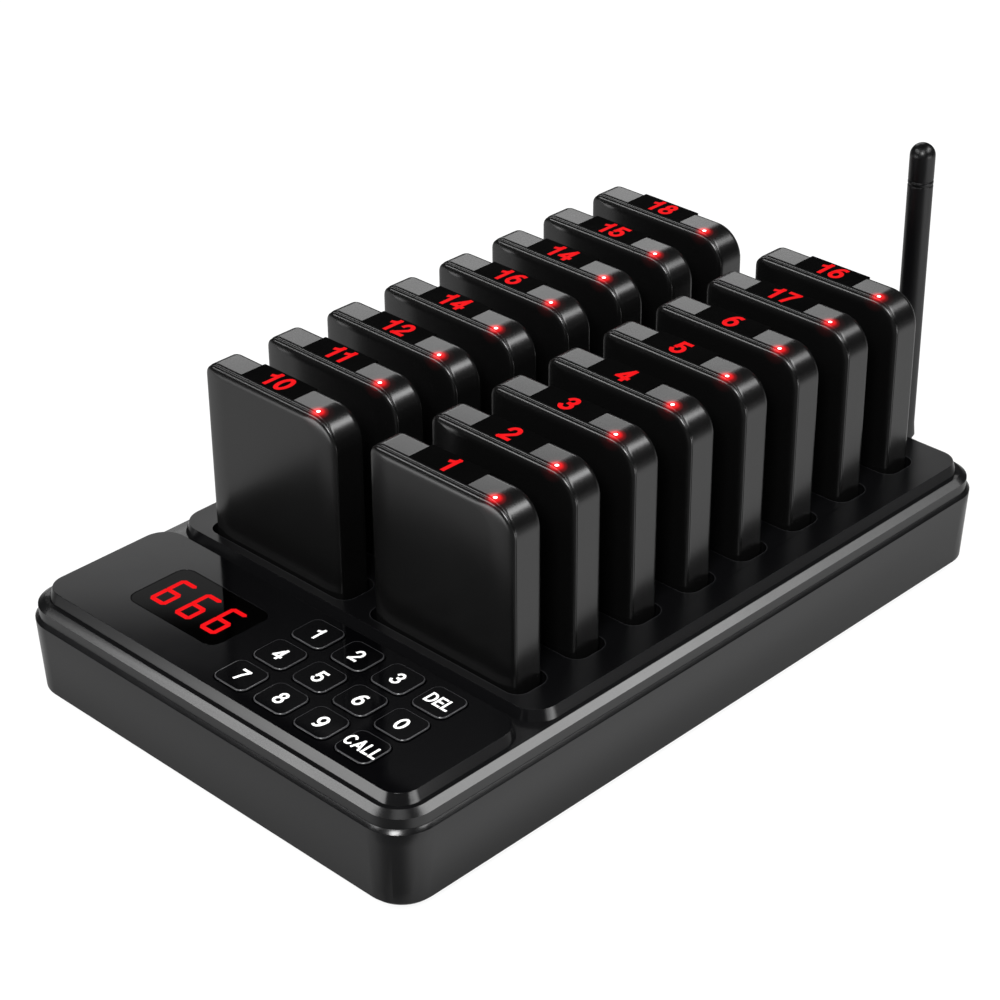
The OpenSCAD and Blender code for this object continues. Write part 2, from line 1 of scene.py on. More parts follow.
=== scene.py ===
"""Look of a guest pager system: a charging base with a keypad, a display and an
antenna, and sixteen pagers that stand in two columns of slots.

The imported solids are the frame. Every piece made here stands where its solid
stands, rides on the same body, and is sized in millimetres.
"""

import json
import logging
import math
from dataclasses import dataclass
from enum import Enum

import bmesh
import bpy
from bmesh.types import BMEdge, BMesh
from bpy.types import Material, Node, NodeSocket, NodeTree
from mathutils import Matrix, Quaternion, Vector


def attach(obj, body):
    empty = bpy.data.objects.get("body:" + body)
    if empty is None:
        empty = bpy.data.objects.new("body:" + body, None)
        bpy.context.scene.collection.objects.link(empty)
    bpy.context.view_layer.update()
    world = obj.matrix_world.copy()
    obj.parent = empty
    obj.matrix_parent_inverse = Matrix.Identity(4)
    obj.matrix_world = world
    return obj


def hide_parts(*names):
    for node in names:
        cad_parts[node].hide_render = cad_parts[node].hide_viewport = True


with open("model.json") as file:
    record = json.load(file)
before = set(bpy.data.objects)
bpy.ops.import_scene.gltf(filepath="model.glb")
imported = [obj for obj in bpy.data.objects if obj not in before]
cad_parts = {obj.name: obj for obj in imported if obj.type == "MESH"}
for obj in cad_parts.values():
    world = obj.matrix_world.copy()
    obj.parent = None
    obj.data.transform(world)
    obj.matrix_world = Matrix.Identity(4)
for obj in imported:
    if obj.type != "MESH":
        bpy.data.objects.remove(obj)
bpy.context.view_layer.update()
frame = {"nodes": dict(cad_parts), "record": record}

MM = 0.001
Pair = tuple[float, float]
Pairs = tuple[Pair, ...]
LOG = logging.getLogger("guest_pager_system")


# --- materials


def linear(hex_colour: str) -> tuple[float, float, float, float]:
    """Turns an sRGB colour into the linear values that Blender's sockets take.

    Args:
        hex_colour: Colour as six hex digits, such as "1a1a1b".

    Returns:
        Linear red, green and blue, and full opacity.
    """
    levels = [int(hex_colour[i : i + 2], 16) / 255 for i in (0, 2, 4)]
    red, green, blue = (
        v / 12.92 if v <= 0.04045 else ((v + 0.055) / 1.055) ** 2.4 for v in levels
    )
    return red, green, blue, 1.0


def grey(level: float) -> tuple[float, float, float, float]:
    """Returns a linear grey, where 1 is white."""
    return level, level, level, 1.0


def add_node(tree: NodeTree, kind: str, inputs: dict | None = None, **settings: str) -> Node:
    """Adds one node with its settings and links.

    Args:
        tree: Node tree that gets the node.
        kind: Blender's type name for the node.
        inputs: Input sockets, by name or number, each with its constant or with the
            output that feeds it.
        settings: The node's own options.

    Returns:
        The new node.
    """
    node = tree.nodes.new(kind)
    for key, value in settings.items():
        setattr(node, key, value)
    for key, value in (inputs or {}).items():
        if isinstance(value, NodeSocket):
            tree.links.new(value, node.inputs[key])
        else:
            node.inputs[key].default_value = value
    return node


def empty_tree(owner: bpy.types.ID) -> NodeTree:
    """Returns the node tree of a material or a world, with nothing in it."""
    owner.use_nodes = True
    owner.node_tree.nodes.clear()
    return owner.node_tree


@dataclass(frozen=True)
class Finish:
    """What a piece is made of, and how its surface was made."""

    name: str
    colour: str

    def material(self) -> Material:
        """Builds the material once and returns it after that."""
        made = bpy.data.materials.get(self.name)
        if not made:
            made = bpy.data.materials.new(self.name)
            tree = empty_tree(made)
            place = add_node(tree, "ShaderNodeTexCoord").outputs["Object"]
            surface = self.surface(tree, place).outputs[0]
            add_node(tree, "ShaderNodeOutputMaterial", {"Surface": surface})
        return made

    def surface(self, tree: NodeTree, place: NodeSocket) -> Node:
        """Adds the finish's shader to a material.

        Args:
            tree: The material's node tree.
            place: Output with the Object coordinates.

        Returns:
            The shader.
        """
        raise NotImplementedError


@dataclass(frozen=True)
class LampGlow:
    """Red light that spills from a pager's lamp on the plastic round it.

    It takes each colour in fades at a distance in millimetres, and ends at its reach.
    """

    centre_mm: tuple[float, float, float]
    column_pitch_mm: float
    row_pitch_mm: float
    middle: str = "ff2a2a"
    fades: tuple[tuple[float, str], ...] = ((1.44, "f01018"), (2.25, "7a060a"), (3.224, "200203"))
    reach_mm: float = 5.2

    def colour(self, tree: NodeTree, place: NodeSocket) -> NodeSocket:
        """Builds the glow's colour from the distance to the nearest lamp.

        Args:
            tree: The material's node tree.
            place: Output with the Object coordinates.

        Returns:
            Output socket with the emitted colour.
        """
        x, y, z = (c * MM for c in self.centre_mm)
        half_x, half_y = self.column_pitch_mm * MM / 2, self.row_pitch_mm * MM / 2
        # Every pager is folded onto one, so that one material serves them all
        folded = add_node(tree, "ShaderNodeVectorMath", {
            0: place, 1: (x + half_x, y + half_y, 10.0), 2: (x - half_x, y - half_y, -10.0),
        }, operation="WRAP")
        away = add_node(tree, "ShaderNodeVectorMath", {
            0: folded.outputs[0], 1: (x, y, z),
        }, operation="DISTANCE")
        scaled = add_node(tree, "ShaderNodeMapRange", {
            "Value": away.outputs["Value"], "From Max": self.reach_mm * MM,
        })
        ramp = add_node(tree, "ShaderNodeValToRGB", {"Fac": scaled.outputs[0]})
        stops = ramp.color_ramp.elements
        stops[0].color, stops[1].color = linear(self.middle), grey(0.0)
        for distance_mm, hex_colour in self.fades:
            stops.new(distance_mm / self.reach_mm).color = linear(hex_colour)
        return ramp.outputs["Color"]


@dataclass(frozen=True)
class MouldedPlastic(Finish):
    """Moulded plastic, from the satin of a spark-eroded mould to a polished face."""

    roughness: float
    grain_mm: float = 0.35
    grain_depth_mm: float = 0.004
    cloud_mm: float = 18.0
    cloud: float = 0.04
    ior: float = 1.5
    glow: LampGlow | None = None

    def surface(self, tree: NodeTree, place: NodeSocket) -> Node:
        """Adds the plastic's shader, with its grain and its changes of gloss.

        Args:
            tree: The material's node tree.
            place: Output with the Object coordinates.

        Returns:
            The shader.
        """
        # Grain of the mould's surface: it breaks up the edge of each reflection
        grain = add_node(tree, "ShaderNodeTexNoise", {
            "Vector": place, "Scale": 1 / (self.grain_mm * MM), "Detail": 2.0, "Roughness": 0.6,
        })
        bump = add_node(tree, "ShaderNodeBump", {
            "Height": grain.outputs["Fac"], "Strength": 0.6, "Distance": self.grain_depth_mm * MM,
        })
        # Slow change of gloss, as where hands have polished the texture
        cloud = add_node(tree, "ShaderNodeTexNoise", {
            "Vector": place, "Scale": 1 / (self.cloud_mm * MM), "Detail": 3.0, "Roughness": 0.5,
        })
        gloss = add_node(tree, "ShaderNodeMapRange", {
            "Value": cloud.outputs["Fac"],
            "From Min": 0.3,
            "From Max": 0.7,
            "To Min": max(self.roughness - self.cloud, 0.01),
            "To Max": self.roughness + self.cloud,
        })
        surface = add_node(tree, "ShaderNodeBsdfPrincipled", {
            "Base Color": linear(self.colour),
            "IOR": self.ior,
            "Roughness": gloss.outputs["Result"],
            "Normal": bump.outputs["Normal"],
        })
        if self.glow:
            surface.inputs["Emission Strength"].default_value = 1.0
            tree.links.new(self.glow.colour(tree, place), surface.inputs["Emission Color"])
        return surface


@dataclass(frozen=True)
class PlatedMetal(Finish):
    """Plated or zinc-passivated metal with fine turning marks."""

    roughness: float
    mark_mm: float = 0.3

    def surface(self, tree: NodeTree, place: NodeSocket) -> Node:
        """Adds the metal's shader, duller in its marks.

        Args:
            tree: The material's node tree.
            place: Output with the Object coordinates.

        Returns:
            The shader.
        """
        marks = add_node(tree, "ShaderNodeTexNoise", {
            "Vector": place, "Scale": 1 / (self.mark_mm * MM), "Detail": 2.0,
        })
        gloss = add_node(tree, "ShaderNodeMapRange", {
            "Value": marks.outputs["Fac"],
            "To Min": self.roughness * 0.7,
            "To Max": self.roughness * 1.3,
        })
        return add_node(tree, "ShaderNodeBsdfPrincipled", {
            "Base Color": linear(self.colour),
            "Metallic": 1.0,
            "Roughness": gloss.outputs["Result"],
        })


@dataclass(frozen=True)
class LitPaint(Finish):
    """A face that shines: a lit segment or lamp, or print given a painted glow."""

    light: str
    strength: float
    roughness: float = 0.35
    ior: float = 1.04
    patch_mm: float = 2.2
    dimmest: float = 0.86

    def surface(self, tree: NodeTree, place: NodeSocket) -> Node:
        """Adds the lit face's shader.

        Args:
            tree: The material's node tree.
            place: Output with the Object coordinates.

        Returns:
            The shader.
        """
        # A lit face is never quite even: the light behind it is stronger in places; on glowing
        # print this unevenness is painted glow too
        patches = add_node(tree, "ShaderNodeTexNoise", {
            "Vector": place, "Scale": 1 / (self.patch_mm * MM), "Detail": 1.0,
        })
        light = linear(self.light)
        shade = add_node(tree, "ShaderNodeMix", {
            0: patches.outputs["Fac"], 6: light, 7: (*(c * self.dimmest for c in light[:3]), 1.0),
        }, data_type="RGBA")
        return add_node(tree, "ShaderNodeBsdfPrincipled", {
            "Base Color": linear(self.colour),
            "Roughness": self.roughness,
            "IOR": self.ior,
            "Emission Strength": self.strength,
            "Emission Color": shade.outputs[2],
        })


class Colour(Enum):
    """sRGB colours of the object's plastics, inks and lights, and of a painted highlight."""

    SHELL = "0c0c0d"
    PANEL = "030304"
    TRAY = "070708"
    PAGER = "090909"
    FILM = "020202"
    # Pale grey of the slot rims and key-cap rims: a painted highlight on their edges
    PAINTED_HIGHLIGHT = "38383a"
    INK = "f4f4f2"
    RED = "fb1217"


# --- mesh tools


def arc(
    x: float, y: float, across: float, up: float, start: float, end: float
) -> list[Pair]:
    """Returns points along part of an ellipse.

    Args:
        x: Centre, from left to right.
        y: Centre, from bottom to top.
        across: Radius from left to right.
        up: Radius from bottom to top.
        start: Angle of the first point, in degrees from the right.
        end: Angle of the last point.

    Returns:
        Points at most 15 degrees apart.
    """
    steps = max(3, math.ceil(abs(end - start) / 15))
    turns = [math.radians(start + (end - start) * i / steps) for i in range(steps + 1)]
    return [(x + across * math.cos(t), y + up * math.sin(t)) for t in turns]


@dataclass(frozen=True)
class StrokeFont:
    """Bold upright figures and capitals, each drawn with strokes of one thickness.

    A character is a width, as a share of the height, and its strokes. Their middle
    lines run from 0 to 1 both ways.
    """

    stroke: float = 0.175
    gap: float = 0.13

    @staticmethod
    def shapes() -> dict[str, tuple[float, list[list[Pair]]]]:
        """Returns the width and the strokes of every character."""
        stem, head, foot = [(0, 0), (0, 1)], [(0, 1), (1, 1)], [(0, 0), (1, 0)]
        six = [arc(0.5, 0.32, 0.5, 0.32, 0, 360), arc(0.66, 0.32, 0.66, 0.68, 180, 75)]
        nine = [[(1 - x, 1 - y) for x, y in line] for line in six]
        return {
            "0": (0.62, [arc(0.5, 0.5, 0.5, 0.5, 0, 360)]),
            "1": (0.44, [[(0.85, 0), (0.85, 1)], [(0.85, 0.96), (0.55, 0.8), (0, 0.74)]]),
            "2": (0.62, [arc(0.5, 0.7, 0.47, 0.3, 170, -35) + [(0, 0)], foot]),
            "3": (0.62, [
                arc(0.47, 0.76, 0.42, 0.24, 160, -90), arc(0.47, 0.26, 0.5, 0.26, 90, -160),
            ]),
            "4": (0.64, [
                [(0.74, 0), (0.74, 1)], [(0.7, 1), (0, 0.28)], [(0, 0.24), (1, 0.24)],
            ]),
            "5": (0.62, [
                [(0.16, 1), (0.92, 1)],
                [(0.16, 1), (0.07, 0.5)],
                arc(0.46, 0.32, 0.52, 0.32, 135, -155),
            ]),
            "6": (0.62, six),
            "7": (0.6, [head, [(1, 0.96), (0.58, 0.5), (0.34, 0)]]),
            "8": (0.62, [arc(0.5, 0.77, 0.4, 0.23, 0, 360), arc(0.5, 0.27, 0.5, 0.27, 0, 360)]),
            "9": (0.62, nine),
            "A": (0.72, [
                [(0, 0), (0.5, 1)], [(0.5, 1), (1, 0)], [(0.22, 0.28), (0.78, 0.28)],
            ]),
            "C": (0.68, [arc(0.52, 0.5, 0.52, 0.5, 42, 318)]),
            "D": (0.66, [
                stem, [(0, 1), (0.4, 1)] + arc(0.4, 0.5, 0.6, 0.5, 90, -90) + [(0, 0)],
            ]),
            "E": (0.58, [stem, head, [(0, 0.5), (0.9, 0.5)], foot]),
            "L": (0.54, [stem[::-1], foot]),
        }

    def write(self, text: str, height_mm: float, depth_mm: float) -> BMesh:
        """Makes solid lettering, centred on the origin and facing up.

        Args:
            text: The characters.
            height_mm: Height of the characters.
            depth_mm: Thickness of the solid.

        Returns:
            The new mesh.
        """
        curve = bpy.data.curves.new("lettering", "CURVE")
        curve.dimensions = "3D"
        curve.bevel_depth = self.stroke / 2
        curve.bevel_resolution = 1
        curve.use_fill_caps = True
        shapes = self.shapes()
        left = 0.0
        for character in text:
            width, lines = shapes[character]
            for line in lines:
                self.add_line(curve, line, left, width)
            left += width + self.gap
        holder = bpy.data.objects.new("lettering", curve)
        bpy.context.scene.collection.objects.link(holder)
        bpy.context.view_layer.update()
        graph = bpy.context.evaluated_depsgraph_get()
        mesh = bpy.data.meshes.new_from_object(holder.evaluated_get(graph))
        letters = bmesh.new()
        letters.from_mesh(mesh)
        middle = Vector(((left - self.gap) / 2, 0.5, 0.0))
        bmesh.ops.translate(letters, verts=letters.verts[:], vec=-middle)
        size = height_mm * MM
        flat = depth_mm * MM / self.stroke
        bmesh.ops.scale(letters, verts=letters.verts[:], vec=(size, size, flat))
        bpy.data.objects.remove(holder)
        bpy.data.curves.remove(curve)
        bpy.data.meshes.remove(mesh)
        return letters

    def add_line(self, curve: bpy.types.Curve, line: list[Pair], left: float, width: float) -> None:
        """Adds one stroke, with square ends, to the curve that draws a text.

        Args:
            curve: The curve.
            line: Points of the stroke's middle line, from 0 to 1 both ways.
            left: Where the character begins.
            width: The character's width.
        """
        half = self.stroke / 2
        points = [
            Vector((left + half + x * (width - self.stroke), half + y * (1 - self.stroke)))
            for x, y in line
        ]
        closed = (points[0] - points[-1]).length < 1e-4
        if closed:
            points.pop()
        else:
            points[0] = points[0] + (points[0] - points[1]).normalized() * half
            points[-1] = points[-1] + (points[-1] - points[-2]).normalized() * half
        spline = curve.splines.new("POLY")
        spline.points.add(len(points) - 1)
        for point, place in zip(spline.points, points):
            point.co = (place.x, place.y, 0.0, 1.0)
        spline.use_cyclic_u = closed


@dataclass(frozen=True)
class Section:
    """One rounded outline of a stacked form, at a height, in millimetres.

    Where upper is given, it holds the radii of the left and the right corner on the
    side that up names: 1 for the outline's far side, -1 for its near side.
    """

    width: float
    depth: float
    radius: float
    height: float
    upper: Pair | None = None
    up: int = 1

    @classmethod
    def drawn_in(cls, size: tuple[float, float, float], inset: float, height: float) -> "Section":
        """Returns an outline of a width, depth and radius, drawn in by inset."""
        width, depth, radius = size
        return cls(width - 2 * inset, depth - 2 * inset, radius - inset, height)


def outline(bm: BMesh, section: Section, steps: int) -> list[BMEdge]:
    """Adds a rounded rectangle of edges.

    Args:
        bm: Mesh that gets the outline.
        section: Its size and height.
        steps: Segments in each corner; 1 cuts it straight.

    Returns:
        The outline's edges.
    """
    quad = bmesh.ops.create_grid(bm, x_segments=1, y_segments=1, size=0.5)["verts"]
    bmesh.ops.scale(bm, verts=quad, vec=(section.width * MM, section.depth * MM, 1.0))
    corners = [(quad, section.radius)]
    if section.upper:
        high = [v for v in quad if v.co.y * section.up > 0]
        low = [v for v in quad if v.co.y * section.up < 0]
        corners = [(low, section.radius)]
        for vert in high:
            corners.append(([vert], section.upper[vert.co.x > 0]))
    # A corner that is meant to be square still gets a bevel, so that all loops match
    for verts, radius in corners:
        bmesh.ops.bevel(
            bm, geom=verts, offset=max(radius, 0.02) * MM, offset_type="OFFSET",
            segments=steps, profile=0.5, affect="VERTICES", material=-1,
        )
    face = max(bm.faces, key=lambda f: len(f.verts))
    bmesh.ops.translate(bm, verts=list(face.verts), vec=(0, 0, section.height * MM))
    edges = list(face.edges)
    bmesh.ops.delete(bm, geom=[face], context="FACES_ONLY")
    return edges


def stack(sections: list[Section], steps: int = 10, band: bool = False) -> BMesh:
    """Lofts a closed form through rounded outlines.

    Args:
        sections: Outlines in order.
        steps: Segments in each corner; 1 cuts it straight.
        band: Whether the last outline is joined to the first, round a hole.
            Otherwise each of the two is closed with a face.

    Returns:
        The new mesh, with faces outwards.
    """
    bm = bmesh.new()
    loops = [outline(bm, s, steps) for s in sections]
    for low, high in zip(loops, loops[1:] + (loops[:1] if band else [])):
        bmesh.ops.bridge_loops(bm, edges=low + high)
    for loop in () if band else (loops[0], loops[-1]):
        bmesh.ops.contextual_create(bm, geom=loop)
    bmesh.ops.recalc_face_normals(bm, faces=bm.faces[:])
    return bm


def join(whole: BMesh, part: BMesh, place: Matrix) -> None:
    """Joins a part to a mesh in the making, and frees the part.

    Args:
        whole: Mesh that gets the part.
        part: The part.
        place: Where the part goes.
    """
    bmesh.ops.transform(part, matrix=place, verts=part.verts[:])
    mesh = bpy.data.meshes.new("part")
    part.to_mesh(mesh)
    part.free()
    whole.from_mesh(mesh)
    bpy.data.meshes.remove(mesh)


def make_piece(
    bm: BMesh, name: str, body: str, finish: Finish, place: Matrix | None = None,
    hard_deg: float = 34.0, flat_faces: bool = True,
) -> bpy.types.Object:
    """Turns a mesh in the making into a piece that rides on a body.

    Args:
        bm: The mesh, which is freed here.
        name: Name of the piece.
        body: Body it moves with.
        finish: What it is made of.
        place: Where it goes in the frame.
        hard_deg: Edges sharper than this stay hard.
        flat_faces: Whether large faces keep an even shade up to their edges.

    Returns:
        The piece.
    """
    if place is not None:
        bmesh.ops.transform(bm, matrix=place, verts=bm.verts[:])
    mesh = bpy.data.meshes.new(name)
    bm.to_mesh(mesh)
    bm.free()
    piece = bpy.data.objects.new(name, mesh)
    bpy.context.scene.collection.objects.link(piece)
    mesh.shade_smooth()
    mesh.set_sharp_from_angle(angle=math.radians(hard_deg))
    mesh.materials.append(finish.material())
    if flat_faces:
        piece.modifiers.new("flat faces", "WEIGHTED_NORMAL").keep_sharp = True
    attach(piece, body)
    LOG.info("%s rides on %s: %d faces", name, body, len(mesh.polygons))
    return piece


def solid_mesh(node: str) -> BMesh:
    """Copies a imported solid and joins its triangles.

    Args:
        node: Name of the solid.

    Returns:
        The copy.
    """
    bm = bmesh.new()
    bm.from_mesh(frame["nodes"][node].data)
    bmesh.ops.remove_doubles(bm, verts=bm.verts[:], dist=0.002 * MM)
    bmesh.ops.dissolve_limit(
        bm, angle_limit=math.radians(0.6), verts=bm.verts[:], edges=bm.edges[:]
    )
    return bm


def body_and_slot(node: str) -> tuple[str, str]:
    """Looks a solid up in the record.

    Args:
        node: Name of the solid.

    Returns:
        The body that it rides on, and its material slot.
    """
    record = frame["record"]
    body = next(b for b, nodes in record["behaviour"]["bodies"].items() if node in nodes)
    slot = next(s["material_slot"] for s in record["subparts"] if s["node"] == node)
    return body, slot


def refined(
    node: str, finish: Finish, edge_mm: float = 0.0, segments: int = 2,
    side_finish: Finish | None = None,
) -> bpy.types.Object:
    """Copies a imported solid, joins its triangles and softens its edges.

    Args:
        node: Name of the solid, which the copy then stands for.
        finish: What it is made of.
        edge_mm: Width of the soft edge; 0 leaves the edges as they are.
        segments: 1 gives a flat edge, more a round one.
        side_finish: What every face but the top ones is finished with.

    Returns:
        The piece.
    """
    body, slot = body_and_slot(node)
    mesh = solid_mesh(node)
    hard_deg = 32.0
    piece = make_piece(mesh, node + "_look", body, finish, None, hard_deg, False)
    if side_finish:
        piece.data.materials.append(side_finish.material())
        for face in piece.data.polygons:
            face.material_index = int(face.normal.z < 0.9)
    if edge_mm:
        soft = piece.modifiers.new("soft edge", "BEVEL")
        soft.width, soft.segments = edge_mm * MM, segments
        soft.limit_method, soft.angle_limit = "ANGLE", math.radians(hard_deg)
        soft.use_clamp_overlap = soft.harden_normals = True
    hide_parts(node)
    return piece


def at(x: float, y: float, z: float) -> Matrix:
    """Returns the placing of a piece at a point given in millimetres."""
    return Matrix.Translation((x * MM, y * MM, z * MM))


# --- base


@dataclass
class Base:
    """The charging base: shells, control panel, tray, antenna and what is under them."""

    shell_edge: float = 0.22
    panel_edge: float = 0.3
    tray_edge: float = 0.3
    elbow_edge: float = 0.25
    tray_z: float = 36.9
    slot_size: tuple[float, float, float] = (63.0, 14.3, 4.5)
    slot_x: float = 35.8
    first_slot_y: float = -71.4
    slot_pitch: float = 24.5
    # How far each corner of a slot's rim stands outside the slot and above the tray
    rim_profile: Pairs = (
        (0.34, -0.1), (0.3, 0.01), (0.14, -0.01), (0.03, -0.14), (0.1, -0.4)
    )
    mast_axis: Pair = (40.5, 135.9)
    foot_top: float = 26.0
    shaft_r: float = 4.14
    shaft_top: float = 131.0
    # How much wider the shaft is where it leaves the foot, and how high above it
    foot_flare: Pairs = ((0.2, -0.5), (0.34, 0.0), (0.0, 4.0))
    grooves_z: Pair = (117.15, 118.75)
    # Depth of a groove at heights from its middle
    groove: Pairs = ((0.0, -0.5), (0.3, -0.2), (0.3, 0.25), (0.0, 0.35))

    shell: Finish = MouldedPlastic(
        # Satin ABS: soft, wide reflections on the walls, bright bevels
        "satin_moulded_abs_shell", Colour.SHELL.value, 0.22, grain_mm=0.4, cloud=0.015, ior=1.46
    )
    panel: Finish = MouldedPlastic(
        # Polished ABS: mirrors the pagers and the sky behind them
        "polished_abs_panel", Colour.PANEL.value, 0.1, 0.6, 0.0005, cloud=0.01, ior=1.21
    )
    tray: Finish = MouldedPlastic(
        # Satin ABS of a finer texture: near black, with faint streaks of light
        "fine_satin_abs_tray", Colour.TRAY.value, 0.3, 0.35, 0.002, cloud=0.02, ior=1.32
    )
    mast: Finish = MouldedPlastic(
        # Overmoulded thermoplastic: soft highlights along the mast
        "satin_overmoulded_antenna", Colour.PANEL.value, 0.36, 0.4, 0.002, ior=1.4
    )
    bright_edge: Finish = MouldedPlastic(
        # Leaning edges of panel and tray, of glossier ABS than their tops: bright or black
        "glossy_abs_leaning_edge", Colour.SHELL.value, 0.16, 0.5, 0.001, cloud=0.01, ior=1.46
    )
    slot_edge: Finish = MouldedPlastic(
        # Paler edge of each slot: a painted highlight, a faint thin line
        "abs_slot_edge_painted_highlight", Colour.PAINTED_HIGHLIGHT.value, 0.35, 0.4, 0.002, ior=1.4
    )
    rubber: Finish = MouldedPlastic(
        # Nitrile rubber: dull and dark
        "matte_rubber_foot", "0d0d0d", 0.75, 0.5, 0.02, ior=1.45
    )
    silicone: Finish = MouldedPlastic(
        # Silicone sheet: milky grey
        "milky_silicone_sheet", "9a9a98", 0.6, 0.8, 0.01, ior=1.42
    )
    laminate: Finish = MouldedPlastic(
        # Glass-fibre laminate under green solder mask
        "solder_masked_laminate", "14502c", 0.32, 0.5, 0.01
    )
    housing: Finish = MouldedPlastic(
        # Moulded display body, dull so that it takes no light from the segments
        "dull_display_body", "2a2a2b", 0.6, 0.5, 0.01
    )
    gold: Finish = PlatedMetal(
        # Gold-plated bronze: warm and bright
        "gold_plated_contact", "d9a95a", 0.25
    )
    brass: Finish = PlatedMetal(
        # Turned brass under thin gold: warm, with turning marks
        "turned_brass_connector", "c89a4e", 0.28
    )
    zinc: Finish = PlatedMetal(
        # Zinc-plated steel: cool grey and a little dull
        "zinc_plated_screw", "a8abad", 0.35
    )

    def build(self) -> None:
        """Dresses the base's solids."""
        plate = {"segments": 3, "side_finish": self.bright_edge}
        refined("lower_shell", self.shell, self.shell_edge)
        refined("upper_shell", self.shell, self.shell_edge)
        refined("control_panel", self.panel, self.panel_edge, **plate)
        refined("charging_tray", self.tray, self.tray_edge, **plate)
        refined("antenna_base", self.brass)
        refined("antenna_elbow", self.mast, self.elbow_edge)
        refined("power_jack", self.mast)
        refined("rubber_feet", self.rubber)
        refined("housing_screws", self.zinc)
        hidden = {
            "display_module": self.housing,
            "keypad_membrane": self.silicone,
            "main_board": self.laminate,
            "charging_board": self.laminate,
            "charging_contacts": self.gold,
        }
        for node, finish in hidden.items():
            solid = frame["nodes"][node]
            solid.data.materials.clear()
            solid.data.materials.append(finish.material())
            LOG.info("%s keeps its solid, as %s", node, finish.name)
        self.slot_rims()
        self.antenna_mast()

    def antenna_mast(self) -> None:
        """Builds the mast: the foot of its solid, and a shaft turned in one go."""
        mast = solid_mesh("antenna_mast")
        cut = bmesh.ops.bisect_plane(
            mast, geom=mast.verts[:] + mast.edges[:] + mast.faces[:], clear_outer=True,
            plane_co=(0.0, 0.0, self.foot_top * MM), plane_no=(0.0, 0.0, 1.0),
        )
        rim = [part for part in cut["geom_cut"] if isinstance(part, BMEdge)]
        bmesh.ops.contextual_create(mast, geom=rim)
        join(mast, self.shaft(), at(*self.mast_axis, 0))
        body, slot = body_and_slot("antenna_mast")
        piece = make_piece(mast, "antenna_mast_look", body, self.mast, None)
        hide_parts("antenna_mast")

    def shaft(self) -> BMesh:
        """Returns the mast's shaft, with two thin grooves near its domed tip."""
        full = self.shaft_r
        profile = [(full + wider, self.foot_top + up) for wider, up in self.foot_flare]
        for middle in self.grooves_z:
            profile += [(full - depth, middle + up) for depth, up in self.groove]
        for turn in range(0, 90, 6):
            lean = math.radians(turn)
            profile.append((full * math.cos(lean), self.shaft_top - full * (1 - math.sin(lean))))
        # A radius just short of half the width keeps the four corners of a round apart
        return stack([Section(2 * r, 2 * r, r - 0.005, z) for r, z in profile], 12)

    def slot_rims(self) -> None:
        """Builds the thin pale rim round each slot, whose paler colour is a painted highlight."""
        rims = bmesh.new()
        sections = [
            Section.drawn_in(self.slot_size, -out, self.tray_z + up) for out, up in self.rim_profile
        ]
        for x in (-self.slot_x, self.slot_x):
            for row in range(8):
                place = at(x, self.first_slot_y + row * self.slot_pitch, 0)
                join(rims, stack(sections, 8, band=True), place)
        make_piece(rims, "slot_rims", "base", self.slot_edge)


# --- display


class Segment(Enum):
    """The bars that a 6 lights: middle point and whether the bar stands."""

    TOP = (0.0, 1.0, False)
    TOP_LEFT = (-1.0, 0.5, True)
    MIDDLE = (0.0, 0.0, False)
    LOW_LEFT = (-1.0, -0.5, True)
    LOW_RIGHT = (1.0, -0.5, True)
    LOW = (0.0, -1.0, False)


@dataclass
class Display:
    """Smoked window with three lit seven-bar figures under it."""

    centre_x: float = -34.3
    centre_y: float = -109.5
    top_z: float = 36.9
    width: float = 39.7
    depth: float = 23.6
    radius: float = 4.0
    thickness: float = 1.3
    sunk: float = 0.05
    edge: float = 0.15
    figure_height: float = 14.0
    figure_width: float = 6.9
    figure_pitch: float = 11.4
    figures_forward: float = 0.2
    bar: float = 1.6
    bar_height: float = 0.04
    split: float = 0.27

    pane: Finish = MouldedPlastic(
        # Smoked acrylic, polished: black until a bar lights behind it
        "smoked_acrylic_pane", "000000", 0.05, 0.9, 0.0003, cloud=0.01, ior=1.09
    )
    lit: Finish = LitPaint(
        # Diffused red light-emitting bar: even and saturated
        "lit_red_display_bar", "300406", Colour.RED.value, 1.0
    )

    def build(self) -> None:
        """Builds the window and the three figures."""
        top = self.top_z - self.sunk
        size = self.width, self.depth, self.radius
        heights = (0.0, self.top_z - self.thickness), (0.0, top - self.edge), (self.edge, top)
        sections = [Section.drawn_in(size, inset, z) for inset, z in heights]
        pane = make_piece(
            stack(sections), "display_pane", "base", self.pane,
            at(self.centre_x, self.centre_y, 0),
        )
        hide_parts("display_window")
        figures = bmesh.new()
        for figure in (-1, 0, 1):
            for segment in Segment:
                self.add_bar(figures, figure * self.figure_pitch, segment)
        piece = make_piece(
            figures, "display_figures", "base", self.lit,
            at(self.centre_x, self.centre_y - self.figures_forward, top),
        )
        piece.visible_glossy = False

    def add_bar(self, figures: BMesh, x: float, segment: Segment) -> None:
        """Adds one pointed bar of a figure.

        Args:
            figures: Mesh that gets the bar.
            x: Middle of the figure.
            segment: Which bar it is.
        """
        across, up, stands = segment.value
        reach_x = (self.figure_width - self.bar) / 2
        reach_y = (self.figure_height - self.bar) / 2
        length = (reach_y if stands else 2 * reach_x) + self.bar - 2 * self.split
        bar = stack([Section(length, self.bar, self.bar / 2, z) for z in (0.0, self.bar_height)], 1)
        turn = Matrix.Rotation(math.radians(90 if stands else 0), 4, "Z")
        join(figures, bar, at(x + across * reach_x, up * reach_y, 0) @ turn)


# --- keypad


